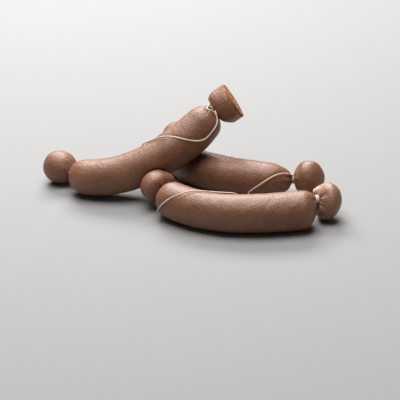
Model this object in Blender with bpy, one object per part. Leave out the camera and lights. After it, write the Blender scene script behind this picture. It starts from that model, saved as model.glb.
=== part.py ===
"""String of three sausage links tied with twine.

Each link is one continuous casing: an end ball, a tied waist, the bent body, a second
waist and a second ball.  The upper link lies across the one behind it and its last ball
has been cut through, so the meat shows inside the casing.  One length of twine runs from
the upper link to the back one and a second from the back link to the front one.

Lengths below are millimetres and angles are degrees; MM turns them into metres.
x runs along the string, y away from the viewer, z up from the table.
"""
import bpy
import bmesh
import numpy as np
from math import pi

MM = 0.001
MIDDLE = (-6.22, -5.91, 0.0)   # middle of the string's footprint, which becomes the origin

# ---- driving dimensions shared by all links
WAIST_RADIUS = 4.0        # gathered casing under the twine
SINK = 0.35               # how far a resting link settles, which leaves a flat strip
SIDES = 28                # faces round a link, four to each gathered fold
BODY_STEPS = 26           # rings along a body
BALL_STEPS = 9            # rings along an end ball
FOLDS = 7                 # gathered folds running out from each tie
FOLD_START = 6.5          # folds begin outside the wound twine
FOLD_DEPTH = 0.85         # depth of a fold on the shoulder beside a tie
SKIN = 1.0                # casing wall where the cut ball shows it
PRESS_GAP = 1.2           # clearance where a link is pressed flat by its neighbour
FIT_GAP = 0.5             # clearance between the casing cup and its meat

# ---- twine
TWINE_RADIUS = 0.75
TWINE_GAP = 0.4           # clearance between twine and anything it lies on
TWINE_STEP = 2.6          # spacing of the points along a twine
TURN_STEPS = 16           # points in one turn round a waist
TURN_PITCH = 1.95         # advance of the twine in a turn that passes itself
OPEN_PITCH = 0.5          # advance in a turn that stops short of itself

# ---- the three links: start of the body axis, its length, heading and pitch along it,
# body radius along it, length and bluntness of the rounded caps, sideways and upward
# shift of each waist from the axis, length of each waist, and the ball at either end
LINK_A = dict(
    start=(-134.7, 21.9, 20.0), length=185.5, rest=False,
    heading=(-37.8, -14.5, 2.7, 16.7, 22.7), pitch=(-1.6, 9.4, 22.6, 29.5, 44.7),
    radius=(18.8, 20.1, 20.6, 21.1, 21.4, 17.9), caps=(27.6, 17.0), blunt=(2.3, 2.2),
    shift=((10.0, 0.0), (1.1, 5.0)), waist=(3.8, 3.6), phase=(0.3, 1.1),
    first=dict(centre=(-146.9, 46.9, 17.8), radius=18.2, beyond=16.8, cheek=2.2, crown=2.1),
    last=dict(centre=(48.8, 27.6, 90.4), radius=20.5, beyond=60.0, cheek=2.3, crown=2.1,
              grow=11.2, face=(0.878, 0.093, 0.469)))
LINK_B = dict(
    start=(-16.9, 79.2, 20.0), length=180.8, rest=True,
    heading=(-93.6, -64.9, -35.8, -22.0, -7.8), pitch=(0.0, 0.0),
    radius=(19.6, 20.3, 19.8, 18.3), caps=(18.0, 25.0), blunt=(2.2, 1.9),
    shift=((5.0, 0.0), (4.4, 0.0)), waist=(3.4, 3.0), phase=(0.9, 0.2),
    first=dict(centre=(-14.5, 101.3, 17.8), radius=18.1, beyond=15.5, cheek=2.2, crown=2.1),
    last=dict(centre=(121.1, -28.7, 18.4), radius=18.7, beyond=18.1, cheek=2.3, crown=1.9))
LINK_C = dict(
    start=(-33.6, -47.1, 20.0), length=179.1, rest=True,
    heading=(-56.1, -38.9, -17.2, -1.8, 6.2), pitch=(0.0, 0.0),
    radius=(20.0, 19.9, 20.5, 20.6), caps=(18.7, 16.9), blunt=(2.2, 2.4),
    shift=((3.2, 0.0), (12.5, 4.3)), waist=(3.4, 4.6), phase=(0.5, 0.0),
    first=dict(centre=(-38.7, -34.0, 23.6), radius=17.2, beyond=18.7, cheek=2.2, crown=2.2,
               wide=1.1),
    last=dict(centre=(136.3, -89.2, 19.4), radius=19.8, beyond=14.7, cheek=2.4, crown=1.9))

# ---- where the twines lie on a body: station along the body, angle round it
# (0 = inside of the bend, 90 = top, 180 = outside of the bend)
A_FRONT = [(182, 118), (184, 165), (180, 186), (170, 185), (160, 186), (151, 174), (142, 149),
           (132, 119), (119, 93), (107, 79), (100, 62), (95, 36), (91, 6)]
B_FRONT = [(179, 103), (175, 118), (168, 131), (159, 151), (147, 180), (139, 202)]
C_FRONT = [(100, 8), (90, 56), (76, 71), (55, 85), (43, 106), (34, 129), (26, 152), (18, 181),
           (11, 207), (5, 223), (1, 231)]

# ---- looks: name, colour, roughness
LOOKS = {
    "casing": ((0.23, 0.115, 0.075, 1.0), 0.42),
    "meat": ((0.33, 0.15, 0.075, 1.0), 0.65),
    "twine": ((0.72, 0.55, 0.40, 1.0), 0.85),
}


# ------------------------------------------------------------------ small helpers
def placed(p):
    """Layout millimetres to metres about the part's own origin."""
    return (np.asarray(p, float) - MIDDLE) * MM


def unit(v):
    v = np.asarray(v, float)
    return v / np.linalg.norm(v, axis=-1, keepdims=True)


def through(values, u):
    """Smooth curve through evenly spaced values, read at u = 0..1."""
    v = np.asarray(values, float)
    m = len(v)
    a, b = np.eye(m), np.zeros(m)
    for i in range(1, m - 1):
        a[i, i - 1:i + 2] = (1, 4, 1)
        b[i] = 6 * (v[i - 1] - 2 * v[i] + v[i + 1])
    s = np.linalg.solve(a, b)
    t = np.clip(np.asarray(u, float) * (m - 1), 0, m - 1)
    k = np.minimum(t.astype(int), m - 2)
    f = t - k
    return ((1 - f) * v[k] + f * v[k + 1] + ((1 - f) ** 3 - (1 - f)) * s[k] / 6
            + (f ** 3 - f) * s[k + 1] / 6)


def dome(d, power):
    """0 at the pole, 1 at full width; a power above 2 is blunter than a ball."""
    return (1 - (1 - np.clip(d, 0, 1)) ** power) ** (1 / power)


def dome_corner(full, power):
    """Share of a dome's length that is hidden inside the tied waist."""
    return 1 - (1 - (WAIST_RADIUS / full) ** power) ** (1 / power)


def across(t):
    """Sideways and upward directions square to a direction of travel."""
    side = unit(np.stack([-t[:, 1], t[:, 0], 0 * t[:, 0]], 1))
    return side, np.cross(t, side)


def axis_line(link, n=241):
    """Body axis, stepped along its heading and pitch."""
    u = np.linspace(0, 1, n)
    h = np.radians(through(link["heading"], u))
    p = np.radians(through(link["pitch"], u))
    t = np.stack([np.cos(h) * np.cos(p), np.sin(h) * np.cos(p), np.sin(p)], 1)
    steps = (t[1:] + t[:-1]) / 2 * link["length"] / (n - 1)
    x = np.array(link["start"]) + np.vstack([[0, 0, 0], np.cumsum(steps, axis=0)])
    if link["rest"]:
        x[:, 2] = through(link["radius"], u) - SINK
        t = unit(np.gradient(x, axis=0))
    return u * link["length"], x, t


def read(s, table, st):
    return np.stack([np.interp(st, s, table[:, i]) for i in range(3)], 1)


def body_rings(link, st):
    """Ring centres, directions and radii at stations along a body."""
    s, x, t = axis_line(link)
    c, d = read(s, x, st), unit(read(s, t, st))
    side, up = across(d)
    g = np.minimum(dome(st / link["caps"][0], link["blunt"][0]),
                   dome((link["length"] - st) / link["caps"][1], link["blunt"][1]))
    r = np.maximum(through(link["radius"], st / link["length"]) * g, WAIST_RADIUS)
    near_start = (st < link["length"] / 2)[:, None]
    move = np.where(near_start, link["shift"][0], link["shift"][1]) * (1 - g)[:, None]
    return c + move[:, :1] * side + move[:, 1:] * up, d, r


def waist(link, end):
    """Where a waist leaves the body, the ball's direction, the body's, and how far it is."""
    ball = link["last"] if end else link["first"]
    c, d, _ = body_rings(link, np.array([link["length"] if end else 0.0]))
    reach = np.array(ball["centre"]) - c[0]
    way = unit(ball.get("face", reach))
    return c[0], way, d[0] * (1 if end else -1), reach @ way, ball


def ball_rings(link, end, n, inset=0.0):
    """Rings from a waist out to the far side of its ball, or to the cut."""
    root, way, lead, dist, ball = waist(link, end)
    gap = link["waist"][end]
    grow = ball.get("grow", dist - gap)
    stop = dist if "face" in ball else dist + ball["beyond"]
    w = np.linspace(0, 1, n)
    w = w if "face" in ball else 0.55 * (0.5 - 0.5 * np.cos(pi * w)) + 0.45 * w
    tied = gap + grow * dome_corner(ball["radius"], ball["cheek"])
    t = np.concatenate([[gap * 0.5], tied + (stop - tied) * w])
    g = np.minimum(dome((t - gap) / grow, ball["cheek"]),
                   dome((dist + ball["beyond"] - t) / ball["beyond"], ball["crown"]))
    r = ball["radius"] * g
    r = np.where(t < dist, np.maximum(r, WAIST_RADIUS), r)
    aside = np.array(ball["centre"]) - way * dist - root
    share = np.clip((r - WAIST_RADIUS) / (ball["radius"] - WAIST_RADIUS), 0, 1)
    m = np.clip(t / (gap + 2), 0, 1)[:, None]
    d = unit((1 - m) * lead + m * way) * (1 if end else -1)
    wide = 1 + (ball.get("wide", 1.0) - 1) * np.clip(r / WAIST_RADIUS - 1, 0, 1)
    return root + way * t[:, None] + aside * share[:, None], d, r - inset, wide, t


def fold_strength(r, full, tied):
    """Folds fade out at the waist itself and at the full width of the body."""
    g = np.clip((r - FOLD_START) / (full - FOLD_START), 0, 1)
    return 6.75 * g * (1 - g) ** 2 * tied


def ring_points(c, d, r, wide, lean, fold, phase):
    """Vertex rings; folds push in and out square to the skin."""
    a = 2 * pi * (np.arange(SIDES) + 0.5) / SIDES - pi / 2
    side, up = across(d)
    wave = np.cos(FOLDS * a[None, :] + phase[:, None]) * (fold * FOLD_DEPTH)[:, None]
    out = r[:, None] + wave * np.cos(lean)[:, None]
    along = wave * np.sin(lean)[:, None]
    p = (c[:, None] + along[..., None] * d[:, None]
         + (out * wide[:, None] * np.cos(a))[..., None] * side[:, None]
         + (out * np.sin(a))[..., None] * up[:, None])
    p[..., 2] = np.maximum(p[..., 2], 0.0)
    return p


def skin_lean(t, r):
    """Tilt of the skin's outward direction along the travel of the rings."""
    return np.arctan2(-np.gradient(r), np.maximum(np.abs(np.gradient(t)), 1e-3))


def neighbours():
    """Balls along the back link's body, and the front link's raised ball."""
    _, x, _ = axis_line(LINK_B)
    r = through(LINK_B["radius"], np.linspace(0, 1, len(x)))
    ball = LINK_C["first"]
    return (np.vstack([x, ball["centre"]]),
            np.append(r, ball["radius"] * ball["wide"] + 1) + PRESS_GAP)


def pressed(p, centres, radii):
    """Points moved out of the balls they lie in, as soft skin yields to what it rests on."""
    depth = np.linalg.norm(p[..., None, :] - centres, axis=-1) - radii
    k = depth.argmin(-1)
    depth = np.minimum(np.take_along_axis(depth, k[..., None], -1), 0)
    return p - depth * unit(p - centres[k])


# ------------------------------------------------------------------ links
def link_points(link):
    """All vertex rings of a link, from the far side of one ball to the far side or cut."""
    w = np.linspace(0, 1, BODY_STEPS)
    w = 0.68 * (0.5 - 0.5 * np.cos(pi * w)) + 0.32 * w
    a = link["caps"][0] * dome_corner(link["radius"][0], link["blunt"][0])
    b = link["caps"][1] * dome_corner(link["radius"][-1], link["blunt"][1])
    st = np.concatenate([[0.0], a + (link["length"] - a - b) * w, [link["length"]]])
    c1, d1, r1 = body_rings(link, st)
    c0, d0, r0, w0, t0 = ball_rings(link, 0, BALL_STEPS)
    c2, d2, r2, w2, t2 = ball_rings(link, 1, BALL_STEPS)
    c = np.vstack([c0[::-1], c1, c2])
    d = unit(np.vstack([d0[::-1], d1, d2]))
    r = np.concatenate([r0[::-1], r1, r2])
    wide = np.concatenate([w0[::-1], np.ones_like(r1), w2])
    travel = np.concatenate([-t0[::-1], st, link["length"] + t2])
    full = np.concatenate([np.full(len(r0), r0.max()), through(link["radius"], st / link["length"]),
                           np.full(len(r2), r2.max())])
    phase = np.where(travel < link["length"] / 2, link["phase"][0], link["phase"][1])
    lean = skin_lean(travel, r)
    tied = np.concatenate([t0[::-1] < t0[r0.argmax()], r1 > 0, t2 < t2[r2.argmax()]])
    return ring_points(c, d, r, wide, lean, fold_strength(r, full, tied), phase)


def loft(name, rings, look, first_tip=None, last_tip=None):
    """One closed body through vertex rings of different section."""
    n, k = rings.shape[:2]
    verts = [tuple(p) for p in placed(rings.reshape(-1, 3))]
    faces = []
    for i in range(n - 1):
        for j in range(k):
            q = (j + 1) % k
            faces.append((i * k + j, i * k + q, (i + 1) * k + q, (i + 1) * k + j))
    for row, tip in ((0, first_tip), (n - 1, last_tip)):
        loop = [row * k + j for j in range(k)]
        if tip is None:
            faces.append(tuple(loop))
            continue
        verts.append(tuple(placed(tip)))
        for j in range(k):
            faces.append((loop[j], loop[(j + 1) % k], len(verts) - 1))
    mesh = bpy.data.meshes.new(name)
    mesh.from_pydata(verts, [], faces)
    bm = bmesh.new()
    bm.from_mesh(mesh)
    bmesh.ops.recalc_face_normals(bm, faces=bm.faces)
    bmesh.ops.triangulate(bm, faces=bm.faces)
    bm.to_mesh(mesh)
    bm.free()
    return add(name, mesh, look)


def closed_link(name, link):
    p = link_points(link)
    return loft(name, p[1:-1], "casing", p[0].mean(0), p[-1].mean(0))


def cut_cup(link):
    """Inner wall of the cut ball, from the rim back to the waist."""
    c, d, r, wide, t = ball_rings(link, 1, BALL_STEPS, inset=SKIN)
    keep = r > WAIST_RADIUS * 0.9
    keep[:3] = False
    ones = np.ones(keep.sum())
    p = ring_points(c[keep], d[keep], r[keep], ones, ones * 0, ones * 0, ones * 0)
    return p[::-1], c[keep][0]


def cut_link(name, link):
    p = pressed(link_points(link), *neighbours())
    cup, floor = cut_cup(link)
    return loft(name, np.concatenate([p[1:], cup]), "casing", p[0].mean(0), floor)


def cut_meat(name, link):
    """The filling, from the tied waist right through to the cut face."""
    c, d, r, wide, t = ball_rings(link, 1, BALL_STEPS, inset=SKIN + FIT_GAP)
    keep = r > WAIST_RADIUS * 0.9
    keep[:3] = False
    ones = np.ones(keep.sum())
    c, d, r = c[keep], d[keep], r[keep]
    c[0] = c[0] + d[0] * FIT_GAP
    p = ring_points(c, d, r, ones, ones * 0, ones * 0, ones * 0)
    return loft(name, p, "meat", c[0], c[-1] + d[-1] * 0.5)


# ------------------------------------------------------------------ twine
def over_body(link, spots, lift):
    """Points lying on a body at given stations and angles, lifted square to its skin."""
    st = np.array([s for s, _ in spots], float)
    a = np.radians([g for _, g in spots])
    c, d, r = body_rings(link, st)
    near = [body_rings(link, np.clip(st + e, 0, link["length"])) for e in (-0.3, 0.3)]
    side, up = across(d)
    out = np.cos(a)[:, None] * side + np.sin(a)[:, None] * up
    before, after = (q[0] + q[2][:, None] * out for q in near)
    run = unit(after - before)
    lift = lift + FOLD_DEPTH * fold_strength(r, max(link["radius"]), 1)[:, None]
    round_way = -np.sin(a)[:, None] * side + np.cos(a)[:, None] * up
    return c + r[:, None] * out + lift * unit(np.cross(round_way, run))


def fine_spots(spots):
    """The same spots, closer together, so that the twine follows the body."""
    u = np.linspace(0, 1, 9 * len(spots))
    s = through([p[0] for p in spots], u)
    a = through([p[1] for p in spots], u)
    return list(zip(s, a))


def turns(link, end, leave, count, hand=1):
    """Twine wound round a waist, from beside the ball to where it leaves for the body."""
    root, way, lead, _, _ = waist(link, end)
    d = unit(way + lead)
    side, up = across(d[None])
    p = np.linspace(0, 1, int(count * TURN_STEPS) + 1)
    a = np.radians(leave - 360 * hand * count * (1 - p))
    pitch = TURN_PITCH if count > 1 else OPEN_PITCH
    along = link["waist"][end] / 2 + pitch * count * (0.5 - p)
    r = WAIST_RADIUS + TWINE_RADIUS + TWINE_GAP + 0.15
    line = np.where(along[:, None] > 0, way, lead)
    return (root + line * along[:, None]
            + r * (np.cos(a)[:, None] * side + np.sin(a)[:, None] * up))


def spaced(points, step):
    """Points evenly spaced along a smooth run through the given ones."""
    p = np.asarray(points, float)
    chord = np.concatenate([[0], np.cumsum(np.linalg.norm(np.diff(p, axis=0), axis=1))])
    n = max(3, int(chord[-1] / step) + 1)
    s = np.linspace(0, chord[-1], n)
    return np.stack([np.interp(s, chord, p[:, i]) for i in range(3)], 1)


def sweep(points, n):
    """Natural cubic through a few free points, n points out."""
    p = np.asarray(points, float)
    u = np.linspace(0, 1, n)
    return np.stack([through(p[:, i], u) for i in range(3)], 1)


def twine(name, points):
    curve = bpy.data.curves.new(name, "CURVE")
    curve.dimensions = "3D"
    curve.bevel_depth = TWINE_RADIUS * MM
    curve.bevel_resolution = 1
    curve.use_fill_caps = True
    line = curve.splines.new("POLY")
    line.points.add(len(points) - 1)
    for spot, p in zip(line.points, placed(points)):
        spot.co = (p[0], p[1], p[2], 1.0)
    return add(name, curve, "twine")


# ------------------------------------------------------------------ scene
def look_of(name):
    colour, rough = LOOKS[name]
    mat = bpy.data.materials.new(name)
    mat.use_nodes = True
    shader = mat.node_tree.nodes["Principled BSDF"]
    shader.inputs["Base Color"].default_value = colour
    shader.inputs["Roughness"].default_value = rough
    return mat


def add(name, data, look):
    obj = bpy.data.objects.new(name, data)
    data.materials.append(materials[look])
    parts.objects.link(obj)
    return obj


for old in list(bpy.data.objects):
    bpy.data.objects.remove(old, do_unlink=True)
parts = bpy.data.collections.new("sausage_string")
bpy.context.scene.collection.children.link(parts)
materials = {name: look_of(name) for name in LOOKS}

LIFT = TWINE_RADIUS + TWINE_GAP

cut_link("link_a", LINK_A)
closed_link("link_b", LINK_B)
closed_link("link_c", LINK_C)
cut_meat("stub_filling", LINK_A)

# the upper link's twine: a turn at its right waist, down the front and back over the
# top, then slack along the table and up to the back link's left waist
drape = over_body(LINK_A, fine_spots(A_FRONT), LIFT)
back_turn = turns(LINK_B, 0, -8, 0.92, hand=-1)[::-1]
slack = sweep([drape[-1], (-47.0, 23.0, 18.0), (-47.0, 34.0, 6.0), (-44.0, 46.0, 1.9),
               (-37.0, 62.0, 1.9), (-28.0, 76.0, 3.0), (-20.5, 80.0, 9.5), back_turn[0]], 40)
run = spaced(np.vstack([drape, slack[1:-1]]), TWINE_STEP)
twine("twine_ab", np.vstack([turns(LINK_A, 1, 98, 0.92), run, back_turn]))

# the back link's twine: a turn at its right waist, down its front into the valley, up
# over the front link and round that link's left end to its waist
fall = over_body(LINK_B, fine_spots(B_FRONT), LIFT)
climb = over_body(LINK_C, fine_spots(C_FRONT), LIFT)
front_turn = turns(LINK_C, 0, 309, 1.2)[::-1]
valley = sweep([fall[-1], (62.0, -48.0, 3.0), (62.5, -58.0, 1.9), (62.5, -72.0, 2.0),
                (63.0, -81.0, 8.0), climb[0]], 24)
run = spaced(np.vstack([fall, valley[1:-1], climb]), TWINE_STEP)
twine("twine_bc", np.vstack([turns(LINK_B, 1, 84, 0.92), run, front_turn]))

# the two outer ends are tied off on their own
twine("tie_a_left", turns(LINK_A, 0, 70, 1.3))
twine("tie_c_right", turns(LINK_C, 1, 202, 1.4))
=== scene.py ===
# %% [markdown]
# A string of sausage links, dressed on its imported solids.
#
# Three cooked links lie across each other.  Each is one long casing, tied near both ends
# with twine, so that a round ball of filling stands beyond each tie.  The last ball of
# the upper link has been cut through.  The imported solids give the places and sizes; this
# file gives the skin, the gathers, the cut meat and the laid twine their fine shape, and
# adds a few swells of the filling that the solids don't have.
#
# Lengths are millimetres and angles are degrees until `placed` turns them into metres.

# %% Frame
import bpy
import numpy as np
from mathutils import Matrix


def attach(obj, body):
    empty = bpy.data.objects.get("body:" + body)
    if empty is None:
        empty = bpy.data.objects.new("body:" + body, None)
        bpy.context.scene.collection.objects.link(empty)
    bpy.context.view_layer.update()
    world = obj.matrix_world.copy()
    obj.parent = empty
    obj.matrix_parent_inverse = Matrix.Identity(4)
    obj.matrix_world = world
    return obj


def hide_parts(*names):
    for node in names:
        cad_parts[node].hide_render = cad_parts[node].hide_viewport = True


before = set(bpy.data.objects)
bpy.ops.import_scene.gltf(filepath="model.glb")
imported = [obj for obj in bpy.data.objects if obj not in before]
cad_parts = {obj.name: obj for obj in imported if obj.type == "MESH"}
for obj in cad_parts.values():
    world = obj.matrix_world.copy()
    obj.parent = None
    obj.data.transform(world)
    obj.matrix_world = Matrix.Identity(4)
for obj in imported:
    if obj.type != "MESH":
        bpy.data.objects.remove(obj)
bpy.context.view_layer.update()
print("solids:", sorted(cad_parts))

# %% Sizes shared by every link
MM = 0.001
MIDDLE = np.array([-6.22, -5.91, 0.0])  # middle of the footprint, which is the origin
WAIST = 4.0                              # radius of the gathered casing under the twine
SINK = 0.35                              # how far a resting link settles on its underside
SKIN = 1.0                               # casing wall where the cut ball shows it
TWINE = 0.75                             # radius of the twine

# %% [markdown]
# Each link follows a bent line.  The line could be drawn with control points, but a
# butcher would rather say how long the link is, which way it heads, how steeply it
# climbs and how thick it is, so those are the numbers kept for each one.  `shift` moves
# a tied waist off the middle of the body, `blunt` says how square the shoulders are and
# `phase` turns the folds at each tie.  `pleats` is the share of the gathering that
# carries on over the balls.
#
# Two lists hold what no formula would guess.  Each of the `swells` pushes the skin of the
# ball or of the body round one spot: the spot, how far it reaches, the push and how much
# it puckers.  Each of the `frill_and_sheen` places on a ball is paler, partly the pale
# frill of the casing and partly painted sheen: the spot, its reach and its strength.

# %% The three links
UPPER = dict(
    start=(-134.7, 21.9, 20.0), length=185.5, rest=False,
    heading=(-37.8, -14.5, 2.7, 16.7, 22.7), pitch=(-1.6, 9.4, 22.6, 29.5, 44.7),
    radius=(18.8, 20.1, 20.6, 21.1, 21.4, 17.9), caps=(27.6, 17.0), blunt=(2.3, 2.2),
    shift=((10.0, 0.0), (1.1, 5.0)), waist=(3.8, 3.6), phase=(0.3, 1.1),
    pleats=0.35, frill_and_sheen=(),
    swells=(("ball", (32.5, 12.0, 81.0), 8.0, (-1.7, -0.2, -1.5), 0.0),
            ("ball", (37.0, 12.0, 75.5), 7.0, (-0.9, 0.0, -1.7), 0.0),
            ("ball", (24.5, 26.0, 94.0), 8.0, (-2.2, 0.0, 0.2), 0.0),
            ("ball", (39.5, 27.0, 110.0), 5.5, (-2.2, 0.0, 0.3), 0.0)),
    first=dict(centre=(-146.9, 46.9, 17.8), radius=18.2, beyond=16.8, cheek=2.2, crown=2.1),
    last=dict(centre=(48.8, 27.6, 90.4), radius=20.5, beyond=60.0, cheek=2.3, crown=2.1,
              grow=11.2, face=(0.878, 0.093, 0.469)))
BACK = dict(
    start=(-16.9, 79.2, 20.0), length=180.8, rest=True,
    heading=(-93.6, -64.9, -35.8, -22.0, -7.8), pitch=(0.0, 0.0),
    radius=(19.6, 20.3, 19.8, 18.3), caps=(18.0, 25.0), blunt=(2.2, 1.9),
    shift=((5.0, 0.0), (4.4, 0.0)), waist=(3.4, 3.0), phase=(0.9, 0.2),
    pleats=0.8, frill_and_sheen=(),
    swells=(("body", (99.4, -37.8, 15.0), 6.0, (0.9, 0.0, -0.2), 0.0),
            ("ball", (106.0, -32.0, 19.0), 9.0, (-2.6, 0.0, 0.0), 0.0),
            ("ball", (108.0, -28.7, 32.5), 8.0, (1.5, 0.0, -1.1), 0.0),
            ("ball", (129.5, -28.7, 35.2), 9.0, (1.2, 0.0, 0.8), 0.0)),
    first=dict(centre=(-14.5, 101.3, 17.8), radius=18.1, beyond=15.5, cheek=2.2, crown=2.1),
    last=dict(centre=(121.1, -28.7, 18.4), radius=18.7, beyond=18.1, cheek=2.3, crown=1.9))
FRONT = dict(
    start=(-33.6, -47.1, 20.0), length=179.1, rest=True,
    heading=(-56.1, -38.9, -17.2, -1.8, 6.2), pitch=(0.0, 0.0),
    radius=(20.0, 19.9, 20.5, 20.6), caps=(18.7, 16.9), blunt=(2.2, 2.4),
    shift=((3.2, 0.0), (12.5, 4.3)), waist=(3.4, 4.6), phase=(0.5, 0.0),
    pleats=0.9,
    frill_and_sheen=(((123.0, -81.0, 30.0), 7.0, 1.5), ((131.0, -84.0, 37.0), 7.0, 0.6),
         ((136.3, -92.0, 22.0), 32.0, 0.16)),
    swells=(("ball", (127.5, -79.5, 28.5), 5.5, (-4.4, -0.6, 0.2), 0.22),
            ("ball", (129.4, -102.5, 13.0), 10.0, (-2.6, 0.0, -0.4), 0.0),
            ("ball", (-24.1, -33.6, 32.9), 7.0, (1.9, 0.0, 0.9), 0.25)),
    first=dict(centre=(-38.7, -34.0, 23.6), radius=17.2, beyond=18.7, cheek=2.2, crown=2.2,
               wide=1.1),
    last=dict(centre=(136.3, -89.2, 19.4), radius=19.8, beyond=14.7, cheek=2.4, crown=1.9))
LINKS = dict(upper=UPPER, back=BACK, front=FRONT)
for title, link in LINKS.items():
    print(title, "link", link["length"], "mm long,", 2 * max(link["radius"]), "mm thick")

# %% [markdown]
# Small tools come first.  `through` draws one smooth line through a few evenly spaced
# values, so five headings make a whole bend.  `ripple` is the unevenness of filled
# casing: many soft waves in random directions, added up.  A noise texture could do the
# same in a material, but lumps that change the outline have to be in the mesh.


# %% Smooth lines and soft lumps
def unit(v):
    """Each row divided by its own length."""
    v = np.asarray(v, float)
    return v / np.linalg.norm(v, axis=-1, keepdims=True)


def placed(p):
    """Layout millimetres, less the middle of the footprint, times a thousandth."""
    return (np.asarray(p, float) - MIDDLE) * MM


def through(values, u):
    """Natural cubic through evenly spaced values, read at u from 0 to 1."""
    v = np.asarray(values, float)
    m = len(v)
    a = np.eye(m) * 4
    a += np.eye(m, k=1) + np.eye(m, k=-1)
    a[[0, -1]] = 0
    a[0, 0] = a[-1, -1] = 1
    b = np.zeros(m)
    b[1:-1] = 6 * (v[:-2] - 2 * v[1:-1] + v[2:])
    s = np.linalg.solve(a, b)
    t = np.clip(np.asarray(u, float) * (m - 1), 0, m - 1)
    k = np.minimum(t.astype(int), m - 2)
    f = t - k
    return ((1 - f) * v[k] + f * v[k + 1] + ((1 - f) ** 3 - (1 - f)) * s[k] / 6
            + (f ** 3 - f) * s[k + 1] / 6)


def ripple(points, size, seed, waves=16):
    """Sum of cosines of random heading, each about `size` long; mostly -1 to 1."""
    rng = np.random.default_rng(seed)
    way = unit(rng.normal(size=(waves, 3)))
    way *= (2 * np.pi / (size * rng.uniform(0.7, 1.5, waves)))[:, None]
    turn = rng.uniform(0, 2 * np.pi, waves)
    return np.clip(np.cos(points @ way.T + turn).sum(-1) / np.sqrt(2 * waves), -1, 1)


def smoothstep(low, high, x):
    """0 below low, 1 above high, three squares less two cubes between."""
    f = np.clip((x - low) / (high - low), 0, 1)
    return f * f * (3 - 2 * f)


print("a line through 0, 1, 0 reads", through((0, 1, 0), np.array([0.25, 0.5])).round(3))

# %% [markdown]
# A stuffed casing is a tube whose rings stay round, grow from the tied waist to full
# width in a blunt dome, and slide sideways where the tie sits off the middle.  A body of
# subdivided boxes would need every bulge placed by hand.  Here the whole length is one
# family of rings, so a shoulder, a waist and a ball are the same formula with other
# numbers.


# %% Rings along a body
def dome(d, power):
    """One minus (1 - d) to the power, all to 1/power: 0 at the pole, 1 at full width."""
    return (1 - (1 - np.clip(d, 0, 1)) ** power) ** (1 / power)


def dome_corner(full, power):
    """Share of a dome's length that the tied waist swallows."""
    return 1 - (1 - (WAIST / full) ** power) ** (1 / power)


def across(t):
    """Level sideways direction square to t, and the third direction square to both."""
    side = unit(np.stack([-t[:, 1], t[:, 0], 0 * t[:, 0]], 1))
    return side, np.cross(t, side)


def axis_line(link, n=241):
    """Headings and pitches read along the link, turned to steps and added up."""
    u = np.linspace(0, 1, n)
    h = np.radians(through(link["heading"], u))
    p = np.radians(through(link["pitch"], u))
    t = np.stack([np.cos(h) * np.cos(p), np.sin(h) * np.cos(p), np.sin(p)], 1)
    steps = (t[1:] + t[:-1]) / 2 * link["length"] / (n - 1)
    x = np.array(link["start"]) + np.vstack([[0, 0, 0], np.cumsum(steps, axis=0)])
    if link["rest"]:
        x[:, 2] = through(link["radius"], u) - SINK
        t = unit(np.gradient(x, axis=0))
    return u * link["length"], x, t


def read(s, table, st):
    """Each column of a table read at stations st."""
    return np.stack([np.interp(st, s, table[:, i]) for i in range(3)], 1)


def body_rings(link, st):
    """Centres, directions and radii: radius times dome, centre shifted as the dome closes."""
    s, x, t = axis_line(link)
    c, d = read(s, x, st), unit(read(s, t, st))
    side, up = across(d)
    g = np.minimum(dome(st / link["caps"][0], link["blunt"][0]),
                   dome((link["length"] - st) / link["caps"][1], link["blunt"][1]))
    r = np.maximum(through(link["radius"], st / link["length"]) * g, WAIST)
    near_start = (st < link["length"] / 2)[:, None]
    move = np.where(near_start, link["shift"][0], link["shift"][1]) * (1 - g)[:, None]
    return c + move[:, :1] * side + move[:, 1:] * up, d, r


def waist(link, end):
    """Where a waist leaves the body, the ball's direction, the body's, the run to the ball."""
    ball = link["last"] if end else link["first"]
    c, d, _ = body_rings(link, np.array([link["length"] if end else 0.0]))
    reach = np.array(ball["centre"]) - c[0]
    way = unit(ball.get("face", reach))
    return c[0], way, d[0] * (1 if end else -1), reach @ way, ball


def ball_rings(link, end, n):
    """Rings from a waist out to the far side of its ball, or to the cut."""
    root, way, lead, dist, ball = waist(link, end)
    gap = link["waist"][end]
    grow = ball.get("grow", dist - gap)
    cut = "face" in ball
    stop = dist if cut else dist + ball["beyond"]
    w = np.linspace(0, 1, n)
    w = 0.8 * w + 0.2 * w * w if cut else 0.75 * (0.5 - 0.5 * np.cos(np.pi * w)) + 0.25 * w
    tied = gap + grow * dome_corner(ball["radius"], ball["cheek"])
    t = np.concatenate([np.linspace(gap * 0.25, tied, 9)[:-1], tied + (stop - tied) * w])
    g = np.minimum(dome((t - gap) / grow, ball["cheek"]),
                   dome((dist + ball["beyond"] - t) / ball["beyond"], ball["crown"]))
    r = ball["radius"] * g
    r = np.where(t < dist, np.maximum(r, WAIST), r)
    aside = np.array(ball["centre"]) - way * dist - root
    share = np.clip((r - WAIST) / (ball["radius"] - WAIST), 0, 1)[:, None]
    m = np.clip(t / (gap + 2), 0, 1)[:, None]
    d = unit((1 - m) * lead + m * way) * (1 if end else -1)
    wide = 1 + (ball.get("wide", 1.0) - 1) * np.clip(r / WAIST - 1, 0, 1)
    return root + way * t[:, None] + aside * share, d, r, wide, t


for title, link in LINKS.items():
    print(title, "waists at", waist(link, 0)[0].round(1), waist(link, 1)[0].round(1))

# %% [markdown]
# A mesh is filled from whole arrays: `loft` joins rings of points with quads and closes
# both ends with a fan to a tip.  Each point can carry numbers along with it, such as how
# tightly the casing is gathered there, and a material reads them later by name.


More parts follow.
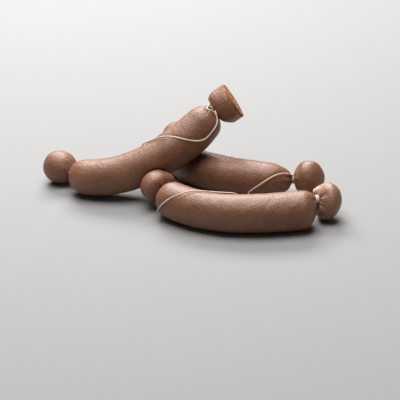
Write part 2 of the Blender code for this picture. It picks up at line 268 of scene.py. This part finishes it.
# %% Rings to a closed mesh
def loft(name, rings, tips, **carried):
    """Quads between neighbouring rings, a fan to each tip; carried numbers per point."""
    n, k = rings.shape[:2]
    co = placed(np.vstack([rings.reshape(-1, 3), tips]))
    i, j = np.meshgrid(np.arange(n - 1), np.arange(k), indexing="ij")
    q = (j + 1) % k
    quads = np.stack([i * k + j, i * k + q, (i + 1) * k + q, (i + 1) * k + j], -1)
    j = np.arange(k)
    q = (j + 1) % k
    top = (n - 1) * k
    first = np.stack([q, j, np.full(k, n * k)], 1)
    last = np.stack([top + j, top + q, np.full(k, n * k + 1)], 1)
    corners = np.concatenate([quads.ravel(), first.ravel(), last.ravel()])
    sides = np.concatenate([np.full(quads.size // 4, 4), np.full(2 * k, 3)])
    mesh = bpy.data.meshes.new(name)
    mesh.vertices.add(len(co))
    mesh.vertices.foreach_set("co", co.astype(np.float32).ravel())
    mesh.loops.add(len(corners))
    mesh.loops.foreach_set("vertex_index", corners.astype(np.int32))
    mesh.polygons.add(len(sides))
    starts = np.concatenate([[0], np.cumsum(sides)[:-1]])
    mesh.polygons.foreach_set("loop_start", starts.astype(np.int32))
    mesh.polygons.foreach_set("use_smooth", np.ones(len(sides), bool))
    mesh.update(calc_edges=True)
    for label, value in carried.items():
        ends = [value[0].mean(), value[-1].mean()]
        layer = mesh.attributes.new(label, "FLOAT", "POINT")
        layer.data.foreach_set("value", np.append(value.ravel(), ends).astype(np.float32))
    piece = bpy.data.objects.new(name, mesh)
    bpy.context.scene.collection.objects.link(piece)
    print(name, len(co), "points,", len(sides), "faces")
    return piece


# %% [markdown]
# Twine is laid before the skin, because the skin gives a little under it.  Its route is
# said the way it was laid: a turn or so round each tied waist, then across the body at
# stated places (how far along, what angle round), then slack on the table.  Each route
# point carries the direction away from what it lies on, which later keeps the strands'
# twist steady.

# %% Where the twine crosses each body
LAID = TWINE + 0.15     # height of the twine's middle over the skin it crosses
BEDDED = 0.75           # share of the twine's radius that stands off a waist
TURN_STEPS = 16         # points in one turn round a waist
TURN_PITCH = 1.75       # advance of the twine in a turn that passes itself
OPEN_PITCH = 0.5        # advance in a turn that stops short of itself
OPEN_TURN = 0.92        # length of such a turn
ROUTE_STEP = 2.4        # spacing of the points between two turns

# station along the body, angle round it (0 inside of the bend, 90 top, 180 outside)
UPPER_CROSSING = [(182, 118), (184, 165), (180, 186), (170, 185), (160, 186), (151, 174),
                  (142, 149), (132, 119), (119, 93), (107, 79), (100, 62), (95, 36), (91, 6)]
BACK_CROSSING = [(179, 103), (175, 118), (168, 131), (159, 151), (147, 180), (139, 202)]
FRONT_CROSSING = [(100, 8), (90, 56), (76, 71), (55, 85), (43, 106), (34, 129), (26, 152),
                  (18, 181), (11, 207), (5, 223), (1, 231)]
print("crossings:", len(UPPER_CROSSING), len(BACK_CROSSING), len(FRONT_CROSSING))


# %% Twine routes
def over_body(link, spots, lift):
    """Body ring point at each station and angle, plus lift along the skin's normal."""
    u = np.linspace(0, 1, 9 * len(spots))
    st = through([p[0] for p in spots], u)
    a = np.radians(through([p[1] for p in spots], u))
    c, d, r = body_rings(link, st)
    near = [body_rings(link, np.clip(st + e, 0, link["length"])) for e in (-0.3, 0.3)]
    side, up = across(d)
    out = np.cos(a)[:, None] * side + np.sin(a)[:, None] * up
    before, after = (q[0] + q[2][:, None] * out for q in near)
    round_way = -np.sin(a)[:, None] * side + np.cos(a)[:, None] * up
    skin = unit(np.cross(round_way, unit(after - before)))
    lift = lift + 0.5 * shoulder(r, max(link["radius"]))[:, None]
    return np.hstack([c + r[:, None] * out + lift * skin, skin])


def shoulder(r, full):
    """Rises from the waist and falls to full width: 6.75 g (1 - g) squared."""
    g = np.clip((r - 6.5) / (full - 6.5), 0, 1)
    return 6.75 * g * (1 - g) ** 2


def turns(link, end, leave, count, hand=1):
    """Circles round a waist that advance along it, ending at the angle `leave`."""
    root, way, lead, _, _ = waist(link, end)
    side, up = across(unit(way + lead)[None])
    p = np.linspace(0, 1, int(count * TURN_STEPS) + 1)
    a = np.radians(leave - 360 * hand * count * (1 - p))
    pitch = TURN_PITCH if count > 1 else OPEN_PITCH
    along = link["waist"][end] / 2 + pitch * count * (0.5 - p)
    out = np.cos(a)[:, None] * side + np.sin(a)[:, None] * up
    line = np.where(along[:, None] > 0, way, lead)
    return np.hstack([root + line * along[:, None] + (WAIST + BEDDED * TWINE) * out, out])


def hang(points, n):
    """Smooth line through free points; its outward direction is straight up."""
    p = np.asarray(points, float)
    u = np.linspace(0, 1, n)
    line = np.stack([through(p[:, i], u) for i in range(3)], 1)
    return np.hstack([line, np.tile([0.0, 0.0, 1.0], (n, 1))])


def spaced(route, step):
    """The same route with its points an even step apart."""
    gone = np.linalg.norm(np.diff(route[:, :3], axis=0), axis=1)
    gone = np.concatenate([[0], np.cumsum(gone)])
    s = np.linspace(0, gone[-1], max(3, int(gone[-1] / step) + 1))
    return np.stack([np.interp(s, gone, route[:, i]) for i in range(6)], 1)


drape = over_body(UPPER, UPPER_CROSSING, LAID)
back_turn = turns(BACK, 0, -8, OPEN_TURN, hand=-1)[::-1]
slack = hang([drape[-1, :3], (-47.0, 23.0, 18.0), (-47.0, 34.0, 6.0), (-44.0, 46.0, 1.0),
              (-37.0, 62.0, 1.0), (-28.0, 76.0, 3.0), (-20.5, 80.0, 9.5),
              back_turn[0, :3]], 60)
upper_twine = np.vstack([turns(UPPER, 1, 98, OPEN_TURN),
                         spaced(np.vstack([drape, slack[1:-1]]), ROUTE_STEP), back_turn])

fall = over_body(BACK, BACK_CROSSING, LAID)
climb = over_body(FRONT, FRONT_CROSSING, LAID)
front_turn = turns(FRONT, 0, 309, 1.2)[::-1]
valley = hang([fall[-1, :3], (62.0, -48.0, 3.0), (62.5, -58.0, 1.0), (62.5, -72.0, 1.2),
               (63.0, -81.0, 8.0), climb[0, :3]], 40)
lower_twine = np.vstack([turns(BACK, 1, 84, OPEN_TURN),
                         spaced(np.vstack([fall, valley[1:-1], climb]), ROUTE_STEP),
                         front_turn])
left_tie = turns(UPPER, 0, 70, 1.3)
right_tie = turns(FRONT, 1, 202, 1.4)
print("route points:", len(upper_twine), len(lower_twine), len(left_tie), len(right_tie))

# %% [markdown]
# The casing itself: the rings of the body, both waists and both balls in one sheet.
# Around each tie the skin is gathered, so pleats run out from the waist and die away on
# the shoulder.  The filling makes soft lumps, and a twine pulled across a body sinks
# into a shallow groove.  These move points in or out of the skin, the swells then push
# whole places aside, and all of it is a sum of simple formulas.  At the cut the skin
# ends in a ragged rim, folds over and runs back inside as the wall of the casing.

# %% Casing
AROUND = 176      # points round a ring
BODY_ROWS = 230   # rings along a body
BALL_ROWS = 78    # rings along a ball
FOLDS = 7         # main gathers at a tie
PLEATS = (11, 13, 17, 22)    # finer ones, as waves round the ring
FOLD_DEPTH = 0.40
PLEAT_DEPTH = 0.21
PLEAT_FADE = 0.42            # share of the shoulder over which the pleats die away
PLEAT_GAIN = 1.6
CALM = 9                     # no lumps at the waist, full lumps this much further out
GROOVE = (0.8, 2.2)          # depth and reach of the groove under the twine
PUCKERS = 34                 # waves round the ring where a swell puckers
CUT_BACK = 1.4               # how far the skin stops short of the cut
WALL_START = 1.5             # where the inside wall begins, beyond the waist
TORN_ROWS = 8                # rings that follow the ragged rim
EDGE_OUT, EDGE_IN = 24, 6    # rings of torn colour, outside and inside the rim
EDGE_LAG, EDGE_FADE = 5, 12  # rings before it starts, and rings that it takes to grow


def soft_top(r):
    """Radius and waist joined without a corner: the eighth root of the summed powers."""
    return (r ** 8 + WAIST ** 8) ** 0.125


def gathers(a, r, full, phase, seed):
    """Broad folds, strongest on the shoulder, and finer pleats, strongest at the waist."""
    broad = np.cos(FOLDS * a + phase) * FOLD_DEPTH * shoulder(r, full)
    g = np.clip((r - WAIST) / (full - WAIST), 0, 1)
    rng = np.random.default_rng(seed)
    fine = sum(np.cos(k * a + rng.uniform(0, 6.28) + 1.5 * g) for k in PLEATS)
    fade = np.exp(-(g / PLEAT_FADE) ** 2)
    return broad, fine * PLEAT_DEPTH * fade * np.clip(g * 9 + 0.35, 0, 1)


def groove(points, route, depth, reach):
    """Depth times a bell of the distance to the nearest route point, by blocks."""
    flat = points.reshape(-1, 3)
    near = np.full(len(flat), 1e9)
    for block in np.array_split(route[:, :3], max(1, len(route) // 60)):
        gap = ((flat ** 2).sum(1)[:, None] + (block ** 2).sum(1) - 2 * flat @ block.T)
        near = np.minimum(near, gap.min(1))
    return depth * np.exp(-np.maximum(near, 0) / reach ** 2).reshape(points.shape[:2])


def pressed(p, gap=0.6):
    """Points pushed straight out of the balls that fill the links the upper one rests on."""
    _, x, _ = axis_line(BACK)
    middle = np.vstack([x[::2], FRONT["first"]["centre"]])
    r = np.append(through(BACK["radius"], np.linspace(0, 1, len(x)))[::2],
                  FRONT["first"]["radius"] * FRONT["first"]["wide"] + 1) + gap
    flat = p.reshape(-1, 3)
    far = (flat ** 2).sum(1)[:, None] + (middle ** 2).sum(1) - 2 * flat @ middle.T
    k = (np.sqrt(np.maximum(far, 0)) - r).argmin(1)
    away = flat - middle[k]
    depth = np.minimum(np.linalg.norm(away, axis=1) - r[k], 0)
    return (flat - depth[:, None] * unit(away)).reshape(p.shape)


def stations(link):
    """Places of the rings along a body, closer together towards the ties."""
    w = np.linspace(0, 1, BODY_ROWS)
    w = 0.6 * (0.5 - 0.5 * np.cos(np.pi * w)) + 0.4 * w
    a = link["caps"][0] * dome_corner(link["radius"][0], link["blunt"][0])
    b = link["caps"][1] * dome_corner(link["radius"][-1], link["blunt"][1])
    return np.concatenate([np.linspace(0, a, 5)[:-1], a + (link["length"] - a - b) * w,
                           np.linspace(link["length"] - b, link["length"], 5)[1:]])


def bell(rows, spot, reach):
    """One at the spot, falling as e to the minus (distance over reach) squared."""
    return np.exp(-(((rows - spot) / reach) ** 2).sum(-1))


def swollen(rows, link, angle, calm, on_ball):
    """Rows moved by each swell's push times its bell times (1 + pucker cos(34 angle))."""
    for part, spot, reach, push, pucker in link["swells"]:
        near = bell(rows, spot, reach) * calm
        near *= 1 + pucker * np.cos(PUCKERS * angle)
        near *= (on_ball if part == "ball" else ~on_ball)[:, None]
        rows = rows + near[..., None] * np.array(push)
    return rows


def skin(link, seed, route=None):
    """Round rings plus folds, pleats and lumps, less the twine's groove, then the swells."""
    st = stations(link)
    c1, d1, r1 = body_rings(link, st)
    c0, d0, r0, w0, t0 = ball_rings(link, 0, BALL_ROWS)
    c2, d2, r2, w2, t2 = ball_rings(link, 1, BALL_ROWS)
    c = np.vstack([c0[::-1], c1, c2])
    d = unit(np.vstack([d0[::-1], d1, d2]))
    r = np.concatenate([r0[::-1], r1, r2])
    wide = np.concatenate([w0[::-1], np.ones_like(r1), w2])
    travel = np.concatenate([-t0[::-1], st, link["length"] + t2])
    full = np.concatenate([np.full(len(r0), r0.max()),
                           through(link["radius"], st / link["length"]),
                           np.full(len(r2), r2.max())])
    tied = np.concatenate([t0[::-1] < t0[r0.argmax()], r1 > 0, t2 < t2[r2.argmax()]])
    first_half = (travel < link["length"] / 2)[:, None]
    shown = np.where(tied, soft_top(r), r)
    angle = (2 * np.pi * np.arange(AROUND) / AROUND - np.pi / 2)[None, :]
    side, up = across(d)
    ring = ((np.cos(angle) * wide[:, None])[..., None] * side[:, None]
            + np.sin(angle)[..., None] * up[:, None])
    base = c[:, None] + shown[:, None, None] * ring
    broad0, fine0 = gathers(angle, r[:, None], full[:, None], link["phase"][0], seed)
    broad1, fine1 = gathers(angle, r[:, None], full[:, None], link["phase"][1], seed + 1)
    on_ball = (travel < 0) | (travel > link["length"])
    tied_share = (tied * np.where(on_ball, link["pleats"], 1.0))[:, None]
    broad = np.where(first_half, broad0, broad1) * tied_share
    fine = PLEAT_GAIN * np.where(first_half, fine0, fine1) * tied_share
    calm = smoothstep(WAIST, WAIST + CALM, shown)[:, None]
    lumps = calm * (0.30 * ripple(base, 30, seed + 2) + 0.14 * ripple(base, 12, seed + 3)
                    + 0.05 * ripple(base, 4.5, seed + 4) - 0.18)
    press = np.zeros_like(lumps) if route is None else groove(base, route, *GROOVE)
    lean = np.arctan2(-np.gradient(r), np.maximum(np.abs(np.gradient(travel)), 1e-3))[:, None]
    move = broad + fine + lumps - press * calm
    rows = (base + (move * np.cos(lean))[..., None] * ring
            + (move * np.sin(lean))[..., None] * d[:, None])
    rows = swollen(rows, link, angle, calm, on_ball)
    rows = pressed(rows) if link is UPPER else rows
    rows[..., 2] = np.maximum(rows[..., 2], 0.0)
    tight = np.where(tied, 1 - smoothstep(WAIST, 0.8 * full, r), 0)[:, None]
    tight = np.broadcast_to(tight, move.shape)
    # painted shade: a share that grows where the pleats and folds sink into the skin
    painted_crease_shade = np.clip(-(fine * 1.5 + broad * 0.6), 0, 1)
    # paler spots on a ball: partly the pale frill of the casing, partly painted sheen on its
    # top
    pale = np.zeros_like(move)
    for spot, reach, share in link["frill_and_sheen"]:
        pale = pale + share * bell(rows, spot, reach) * on_ball[:, None]
    return rows, dict(tight=tight, painted_crease_shade=painted_crease_shade, pale=pale)


def closed_link(name, link, seed, route=None):
    """The skin from pole to pole."""
    rows, carried = skin(link, seed, route)
    tips = np.stack([rows[0].mean(0), rows[-1].mean(0)])
    return loft(name, rows[1:-1], tips, **{k: v[1:-1] for k, v in carried.items()})


def cut_link(name, link, seed, route):
    """The skin to just short of the cut, a ragged rim, and the inside wall to the waist.

    Also gives the wall's rings and middles, the cut's direction and the rim's ring.
    """
    rows, carried = skin(link, seed, route)
    c, d, _, _, t = ball_rings(link, 1, BALL_ROWS)
    short = np.searchsorted(t, t[-1] - CUT_BACK)
    first = np.searchsorted(t, link["waist"][1] + WALL_START)
    drop = len(t) - short
    wall = rows[-len(t):] - unit(rows[-len(t):] - c[:, None]) * SKIN
    outer = rows[1:-drop]
    ragged = 0.5 * ripple(outer[-1], 5.0, seed + 5) + 0.3 * ripple(outer[-1], 2.0, seed + 6)
    tear = np.linspace(0, 1, TORN_ROWS)[:, None, None] ** 2 * ragged[None, :, None] * d[-1]
    outer[-TORN_ROWS:] += tear
    inner = wall[first:short][::-1].copy()
    inner[:TORN_ROWS] += tear[::-1]
    rim = [outer[-1:] * (1 - f) + inner[:1] * f + d[-1] * 0.15 * np.sin(np.pi * f)
           for f in (0.2, 0.5, 0.8)]
    tips = np.stack([rows[0].mean(0), c[first]])
    inner = np.concatenate([*rim, inner])
    edge = np.zeros((len(outer) + len(inner), AROUND))
    uneven = 3.0 * ripple(outer[-1], 4.0, seed + 7)[None, :]
    torn = (np.arange(EDGE_OUT + EDGE_IN)[:, None] - EDGE_LAG + uneven) / EDGE_FADE
    edge[len(outer) - EDGE_OUT:len(outer) + EDGE_IN] = np.clip(torn, 0, 1)
    plain = np.zeros((len(inner), AROUND))
    held = {k: np.concatenate([v[1:-drop], plain]) for k, v in carried.items()}
    casing = loft(name, np.concatenate([outer, inner]), tips, cut_edge=edge, **held)
    return casing, wall[first:], c[first:], d[-1], len(t) - drop - first


casing_a, wall, wall_middle, face_way, rim_row = cut_link("casing_a", UPPER, 11, drape)
casing_b = closed_link("casing_b", BACK, 31, fall)
casing_c = closed_link("casing_c", FRONT, 51, climb)

# %% [markdown]
# The cut ball shows coarse meat inside its casing.  A knife drags bits of the filling
# proud and leaves small pits, so the face is a disc of rings whose points rise and fall
# by coarse and fine ripples.  It is joined to a side that follows the inside wall and
# stands out in crumbs at the rim.

# %% Cut meat
SIDE_GAP = 0.25   # how far the hidden side of the meat is drawn in from the wall
PROUD = 0.55      # how far the crumbs at the rim stand out
FACE_ROWS = 46
CROWN = 0.7       # rise of the face towards its middle
proud = smoothstep(rim_row - 2, rim_row + 2, np.arange(len(wall)))[:, None, None]
crumbs = 0.55 * ripple(wall, 4.5, 74) + 0.35 * ripple(wall, 2.0, 75)
out = unit(wall - wall_middle[:, None])
side_rows = wall + out * (proud * (PROUD + crumbs[..., None]) - SIDE_GAP)
face_middle = wall_middle[-1]
edge = side_rows[-1]
share = np.linspace(1, 0, FACE_ROWS)[1:-1] ** 0.9
flat = face_middle + (edge - face_middle) * share[:, None, None]
grain = (0.30 * ripple(flat, 5.0, 71) + 0.24 * ripple(flat, 2.2, 72)
         + 0.12 * ripple(flat, 1.1, 73))
crown = CROWN * (1 - share[:, None] ** 3)
face = flat + (crown + grain * smoothstep(1.0, 0.95, share)[:, None])[..., None] * face_way
meat_rows = np.concatenate([side_rows, face])
on_face = np.concatenate([np.zeros(side_rows.shape[:2]), np.ones(face.shape[:2])])
meat = loft("stub_meat", meat_rows, np.stack([side_rows[0].mean(0), face[-1].mean(0)]),
            on_face=on_face)

# %% [markdown]
# The twine is three plies twisted together.  Modelling each of them as its own tube would
# treble the mesh for something this thin, so the section is one outline with three
# lobes, turned steadily along the route.  The grooves between the lobes get painted shade.


# %% Twine
def laid_twine(name, route, pitch=4.6, sides=18, fine=7):
    """Three lobes: radius times (0.82 + 0.2 |cos 1.5 angle| to the 0.8), turned by length."""
    u = np.linspace(0, 1, (len(route) - 1) * fine + 1)
    path = np.stack([through(route[:, i], u) for i in range(6)], 1)
    kernel = np.hanning(2 * fine + 1)[1:-1]
    kernel /= kernel.sum()
    pad = len(kernel) // 2
    soft = np.stack([np.convolve(np.pad(path[:, i], pad, "edge"), kernel, "valid")
                     for i in range(6)], 1)
    p = soft[:, :3]
    t = unit(np.gradient(p, axis=0))
    up = unit(soft[:, 3:] - (soft[:, 3:] * t).sum(1, keepdims=True) * t)
    side = np.cross(up, t)
    gone = np.concatenate([[0], np.cumsum(np.linalg.norm(np.diff(p, axis=0), axis=1))])
    a = 2 * np.pi * np.arange(sides) / sides
    turn = a[None, :] - 2 * np.pi * gone[:, None] / pitch
    r = TWINE * (0.82 + 0.2 * np.abs(np.cos(1.5 * turn)) ** 0.8)
    end = np.minimum(gone, gone[-1] - gone)
    r = r * np.sqrt(np.clip(end / 0.5, 0.05, 1))[:, None]
    rows = (p[:, None] + (r * np.cos(a))[..., None] * side[:, None]
            + (r * np.sin(a))[..., None] * up[:, None])
    # painted shade: a share that grows into the grooves between the lobes
    ply = 1 - np.abs(np.cos(1.5 * turn))
    piece = loft(name, rows, np.stack([p[0], p[-1]]), ply=ply)
    print("   ", round(gone[-1]), "mm long")
    return piece


twine_a = laid_twine("twine_upper", upper_twine)
twine_b = laid_twine("twine_lower", lower_twine)
tie_a = laid_twine("tie_left", left_tie)
tie_c = laid_twine("tie_right", right_tie)

# %% [markdown]
# Materials.  The casing is a moist, slightly pebbled brown skin: broad soft colour
# patches, finer freckles from the meat behind it, and a satin surface whose gloss is
# broken up by tiny bumps.  Where the skin is gathered it turns paler, and its creases get
# painted shade.  Crumbs of filling colour its torn rim; its pale places are partly frill,
# partly painted sheen.


# %% Material helpers
def material(name):
    """A new node material, its shader and a small function that adds nodes."""
    mat = bpy.data.materials.new(name)
    mat.use_nodes = True
    tree = mat.node_tree
    shader = tree.nodes["Principled BSDF"]

    def node(kind, **settings):
        n = tree.nodes.new(kind)
        for key, value in settings.items():
            if key in n.inputs:
                n.inputs[key].default_value = value
            else:
                setattr(n, key, value)
        return n

    return mat, shader, node, tree.links.new


def noise(node, link, place, scale, detail=2.0, rough=0.5):
    """Noise read at Object coordinates, `scale` cells to the metre."""
    n = node("ShaderNodeTexNoise", Scale=scale, Detail=detail, Roughness=rough)
    link(place.outputs["Object"], n.inputs["Vector"])
    return n.outputs["Fac"]


def ramp(node, link, source, *stops):
    """A colour band: pairs of position and colour."""
    n = node("ShaderNodeValToRGB")
    while len(n.color_ramp.elements) < len(stops):
        n.color_ramp.elements.new(0.5)
    for e, (at, colour) in zip(n.color_ramp.elements, stops):
        e.position = at
        e.color = (*colour, 1)
    link(source, n.inputs["Fac"])
    return n.outputs["Color"]


def blend(node, link, share, a, b, kind="MIX"):
    """Colour b laid over colour a by share; each may be a socket or plain numbers."""
    n = node("ShaderNodeMix", data_type="RGBA", blend_type=kind)
    for socket, value in ((n.inputs[0], share), (n.inputs[6], a), (n.inputs[7], b)):
        if isinstance(value, bpy.types.NodeSocket):
            link(value, socket)
        else:
            socket.default_value = value if isinstance(value, float) else (*value, 1)
    return n.outputs[2]


def sum_up(node, link, *terms):
    """Each source times its weight, added up."""
    total = None
    for source, weight in terms:
        n = node("ShaderNodeMath", operation="MULTIPLY_ADD")
        link(source, n.inputs[0])
        n.inputs[1].default_value = weight
        if total is not None:
            link(total, n.inputs[2])
        else:
            n.inputs[2].default_value = 0.0
        total = n.outputs[0]
    return total


def attribute(node, name):
    """A number carried by the mesh's points."""
    return node("ShaderNodeAttribute", attribute_name=name).outputs["Fac"]


def raised(node, link, source, level):
    """The source plus a level."""
    n = node("ShaderNodeMath", operation="ADD")
    link(source, n.inputs[0])
    n.inputs[1].default_value = level
    return n.outputs[0]


def bumped(node, link, shader, height, strength, distance):
    """The height turned into tiny bumps on the shader."""
    n = node("ShaderNodeBump", Strength=strength, Distance=distance)
    link(height, n.inputs["Height"])
    link(n.outputs["Normal"], shader.inputs["Normal"])


def translucent(shader, weight, radius, scale):
    """Light that enters the surface and leaves it a little further on."""
    shader.inputs["Subsurface Weight"].default_value = weight
    shader.inputs["Subsurface Radius"].default_value = radius
    shader.inputs["Subsurface Scale"].default_value = scale


# %% Casing material
casing_mat, shader, node, link = material("brown casing")
place = node("ShaderNodeTexCoord")
patch = noise(node, link, place, 45, 3.0, 0.55)
mottle = noise(node, link, place, 260, 4.0, 0.6)
freckle = noise(node, link, place, 900, 2.0, 0.5)
tone = ramp(node, link, sum_up(node, link, (patch, 0.55), (mottle, 0.45)),
            (0.34, (0.185, 0.072, 0.034)), (0.50, (0.225, 0.091, 0.045)),
            (0.66, (0.270, 0.117, 0.062)))
dots = ramp(node, link, freckle, (0.35, (0.82, 0.80, 0.79)), (0.62, (1.08, 1.09, 1.10)))
tone = blend(node, link, 0.6, tone, dots, "MULTIPLY")
tight = attribute(node, "tight")
painted_crease_shade = attribute(node, "painted_crease_shade")
tone = blend(node, link, sum_up(node, link, (tight, 0.35)), tone, (0.30, 0.165, 0.12))
# painted shade in the creases: dark brown laid over the skin tone
tone = blend(node, link, sum_up(node, link, (painted_crease_shade, 0.5)), tone, (0.09, 0.035, 0.022))
torn = attribute(node, "cut_edge")
crumb = noise(node, link, place, 700, 2.0, 0.6)
ragged = ramp(node, link, crumb, (0.40, (0.15, 0.055, 0.028)), (0.50, (0.33, 0.135, 0.055)),
              (0.62, (0.56, 0.29, 0.13)))
tone = blend(node, link, sum_up(node, link, (torn, 0.75)), tone, ragged)
# pale peach laid over the ball: partly the frill's own colour, partly painted sheen
frill_and_sheen = attribute(node, "pale")
tone = blend(node, link, sum_up(node, link, (frill_and_sheen, 0.8)), tone, (0.60, 0.40, 0.29))
link(tone, shader.inputs["Base Color"])
gloss = sum_up(node, link, (freckle, 0.22), (patch, 0.08))
link(raised(node, link, gloss, 0.32), shader.inputs["Roughness"])
pebbles = noise(node, link, place, 430, 2.0, 0.5)
grit = noise(node, link, place, 1200, 2.0, 0.5)
height = sum_up(node, link, (pebbles, 0.75), (grit, 0.30), (mottle, 0.15))
bumped(node, link, shader, height, 1.0, 0.0006)
translucent(shader, 0.10, (1.0, 0.45, 0.3), 0.003)
shader.inputs["Specular IOR Level"].default_value = 0.60
print("casing material ready")

# %% [markdown]
# Cut meat is matte and coarse: lean brown pieces, paler fat between them and a few dark
# pits.  A Voronoi pattern gives the pieces, noise breaks their edges.

# %% Meat material
meat_mat, shader, node, link = material("coarse meat")
place = node("ShaderNodeTexCoord")
cells = node("ShaderNodeTexVoronoi", Scale=420.0, Randomness=1.0)
link(place.outputs["Object"], cells.inputs["Vector"])
broken = noise(node, link, place, 520, 5.0, 0.65)
specks = noise(node, link, place, 1500, 3.0, 0.6)
lean = ramp(node, link, broken, (0.32, (0.22, 0.085, 0.036)), (0.50, (0.38, 0.16, 0.068)),
            (0.68, (0.56, 0.29, 0.14)))
fat = ramp(node, link, cells.outputs["Distance"],
           (0.10, (1.25, 1.22, 1.15)), (0.55, (0.85, 0.80, 0.76)))
tone = blend(node, link, 0.7, lean, fat, "MULTIPLY")
link(tone, shader.inputs["Base Color"])
rough = sum_up(node, link, (broken, 0.5))
link(raised(node, link, rough, 0.38), shader.inputs["Roughness"])
height = sum_up(node, link, (broken, 0.8), (specks, 0.35))
bumped(node, link, shader, height, 0.6, 0.0008)
translucent(shader, 0.08, (1.0, 0.5, 0.3), 0.002)
print("meat material ready")

# %% Twine material
twine_mat, shader, node, link = material("cotton twine")
place = node("ShaderNodeTexCoord")
stain = noise(node, link, place, 90, 2.0)
fibre = noise(node, link, place, 2600, 3.0, 0.6)
tone = ramp(node, link, sum_up(node, link, (stain, 0.6), (fibre, 0.4)),
            (0.35, (0.68, 0.50, 0.37)), (0.62, (0.90, 0.76, 0.63)))
ply = attribute(node, "ply")
# painted shade: darker brown in the grooves between the plies
tone = blend(node, link, sum_up(node, link, (ply, 0.5)), tone, (0.46, 0.28, 0.19))
link(tone, shader.inputs["Base Color"])
shader.inputs["Roughness"].default_value = 0.85
bumped(node, link, shader, fibre, 0.5, 0.0003)
print("twine material ready")

# %% Dress the pieces
for piece, mat, slot, node_name in (
        (casing_a, casing_mat, "casing", "link_a"), (casing_b, casing_mat, "casing", "link_b"),
        (casing_c, casing_mat, "casing", "link_c"), (meat, meat_mat, "meat", "stub_filling"),
        (twine_a, twine_mat, "twine", "twine_ab"), (twine_b, twine_mat, "twine", "twine_bc"),
        (tie_a, twine_mat, "twine", "tie_a_left"), (tie_c, twine_mat, "twine", "tie_c_right")):
    piece.data.materials.append(mat)
    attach(piece, "root")
    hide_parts(node_name)
    print(piece.name, "stands for", node_name)

# %% [markdown]
# A pale floor, one broad soft lamp above, a flatter one high up behind and a weak even
# sky.  No lamp stands in front, so the sides towards the camera are lit softly and the
# tops carry the highlights.  The camera stands over two metres off with a long lens, so
# the string keeps its true proportions.

# %% Floor, light and camera
ground = bpy.data.meshes.new("floor")
reach = 4.0
corners = [(-reach, -reach, 0), (reach, -reach, 0), (reach, reach, 0), (-reach, reach, 0)]
ground.from_pydata(corners, [], [(0, 1, 2, 3)])
floor = bpy.data.objects.new("floor", ground)
bpy.context.scene.collection.objects.link(floor)
floor_mat, shader, node, link = material("pale floor")
shader.inputs["Base Color"].default_value = (0.30, 0.295, 0.29, 1)
shader.inputs["Roughness"].default_value = 0.9
ground.materials.append(floor_mat)

world = bpy.data.worlds.new("studio")
world.use_nodes = True
world.node_tree.nodes["Background"].inputs["Color"].default_value = (1, 1, 1, 1)
world.node_tree.nodes["Background"].inputs["Strength"].default_value = 0.07
bpy.context.scene.world = world


def standing(right, up, back, spot):
    """Matrix with the three directions and the place as its columns."""
    rows = [[right[i], up[i], back[i], spot[i]] for i in range(3)]
    return Matrix(rows + [[0, 0, 0, 1]])


def softbox(name, spot, aim, size, watts):
    """A rectangular lamp at spot, turned to face aim."""
    lamp = bpy.data.lights.new(name, "AREA")
    lamp.shape = "RECTANGLE"
    lamp.size, lamp.size_y = size
    lamp.energy = watts
    holder = bpy.data.objects.new(name, lamp)
    back = unit(np.array(spot) - np.array(aim))
    right = unit(np.cross((0.0, 0.0, 1.0), back))
    holder.matrix_world = standing(right, np.cross(back, right), back, spot)
    bpy.context.scene.collection.objects.link(holder)


softbox("lamp_above", (-0.12, 0.10, 1.70), (0, 0, 0.03), (1.4, 1.4), 42)
softbox("lamp_behind", (-0.12, 1.22, 1.10), (-0.03, 0, 0.03), (1.2, 0.6), 40)

eye = bpy.data.cameras.new("camera")
eye.lens = 196.06
eye.sensor_width = 36.0
eye.clip_end = 50
camera = bpy.data.objects.new("camera", eye)
look = np.array([0.0, 0.8955, -0.4450])
roll = np.radians(-4.25)
level_up = np.array([0.0, 0.4450, 0.8955])
right = np.cos(roll) * np.array([1.0, 0.0, 0.0]) + np.sin(roll) * level_up
up = np.cross(right, look)
spot = placed((4.6, -2116.6, 1039.4))
camera.matrix_world = standing(right, up, -look, spot)
bpy.context.scene.collection.objects.link(camera)
bpy.context.scene.camera = camera
bpy.context.scene.view_settings.view_transform = "Standard"
print("camera at", spot.round(4))
